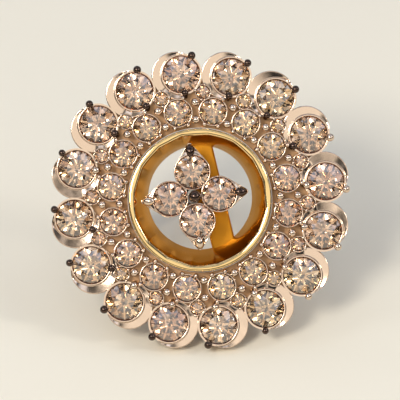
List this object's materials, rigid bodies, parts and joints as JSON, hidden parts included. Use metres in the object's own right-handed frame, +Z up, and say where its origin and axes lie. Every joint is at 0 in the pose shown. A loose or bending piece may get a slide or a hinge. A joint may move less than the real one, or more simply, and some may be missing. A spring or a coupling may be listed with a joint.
{
  "type": "diamond cluster stud earring",
  "caption": "Round flower cluster stud with swirled petals of brilliants, a polished gold collar round an open middle, and a small four-petal blossom inside.",
  "frame": {"origin": "the point on the table under the middle of the earring's bounding box, as it lies by itself on two petals and the tip of its post", "axes": "+X across the face to the right, -Y towards the viewer, +Z up; the face looks towards -Y and up, and the post runs down towards +Y"},
  "size_m": [0.0174, 0.0154, 0.0146],
  "materials": {
    "white_metal": "polished",
    "yellow_gold": "polished",
    "diamond": "faceted"
  },
  "bodies": {
    "root": {"flower_setting": "white_metal", "gold_collar": "yellow_gold", "centre_setting": "white_metal", "ear_post": "yellow_gold", "accent_stones": "diamond", "outer_stone_01": "diamond", "outer_stone_02": "diamond", "outer_stone_03": "diamond", "outer_stone_04": "diamond", "outer_stone_05": "diamond", "outer_stone_06": "diamond", "outer_stone_07": "diamond", "outer_stone_08": "diamond", "outer_stone_09": "diamond", "outer_stone_10": "diamond", "outer_stone_11": "diamond", "outer_stone_12": "diamond", "outer_stone_13": "diamond", "outer_stone_14": "diamond", "outer_stone_15": "diamond", "outer_stone_16": "diamond", "inner_stone_01": "diamond", "inner_stone_02": "diamond", "inner_stone_03": "diamond", "inner_stone_04": "diamond", "inner_stone_05": "diamond", "inner_stone_06": "diamond", "inner_stone_07": "diamond", "inner_stone_08": "diamond", "inner_stone_09": "diamond", "inner_stone_10": "diamond", "inner_stone_11": "diamond", "inner_stone_12": "diamond", "inner_stone_13": "diamond", "inner_stone_14": "diamond", "inner_stone_15": "diamond", "inner_stone_16": "diamond", "centre_stone_1": "diamond", "centre_stone_2": "diamond", "centre_stone_3": "diamond", "centre_stone_4": "diamond"}
  },
  "joints": []
}
